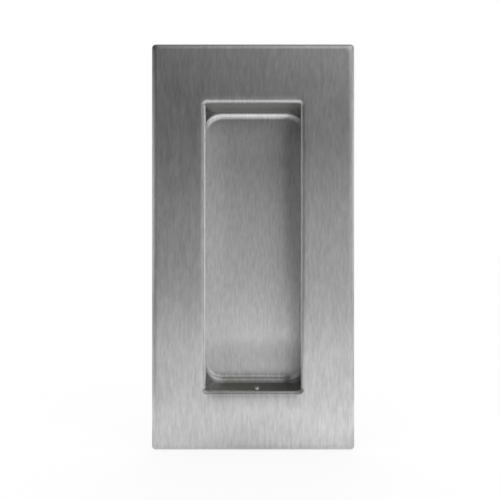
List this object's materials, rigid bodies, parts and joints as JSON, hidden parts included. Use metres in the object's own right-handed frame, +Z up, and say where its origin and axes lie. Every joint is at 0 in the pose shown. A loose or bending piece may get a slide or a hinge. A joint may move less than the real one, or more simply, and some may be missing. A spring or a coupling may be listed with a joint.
{
  "type": "pocket door pull",
  "caption": "Rectangular flush pull for a sliding pocket door: a satin steel cover with a rolled finger opening, over a screwed mounting plate and a drawn finger cup.",
  "frame": {"origin": "centre of the four wood screw holes, on the face of the door", "axes": "+Z up the pull, +X across it, +Y into the door, so the face looks towards -Y"},
  "size_m": [0.06, 0.015, 0.12],
  "materials": {
    "cover_steel": "satin, fine grain running up the pull",
    "plate_steel": "rolled sheet, dull",
    "cup_steel": "satin, fine grain running up the pull",
    "screw_steel": "bright, turned"
  },
  "bodies": {
    "root": {"cover_plate": "cover_steel", "mounting_plate": "plate_steel", "cup": "cup_steel", "locking_screw": "screw_steel"}
  },
  "joints": []
}
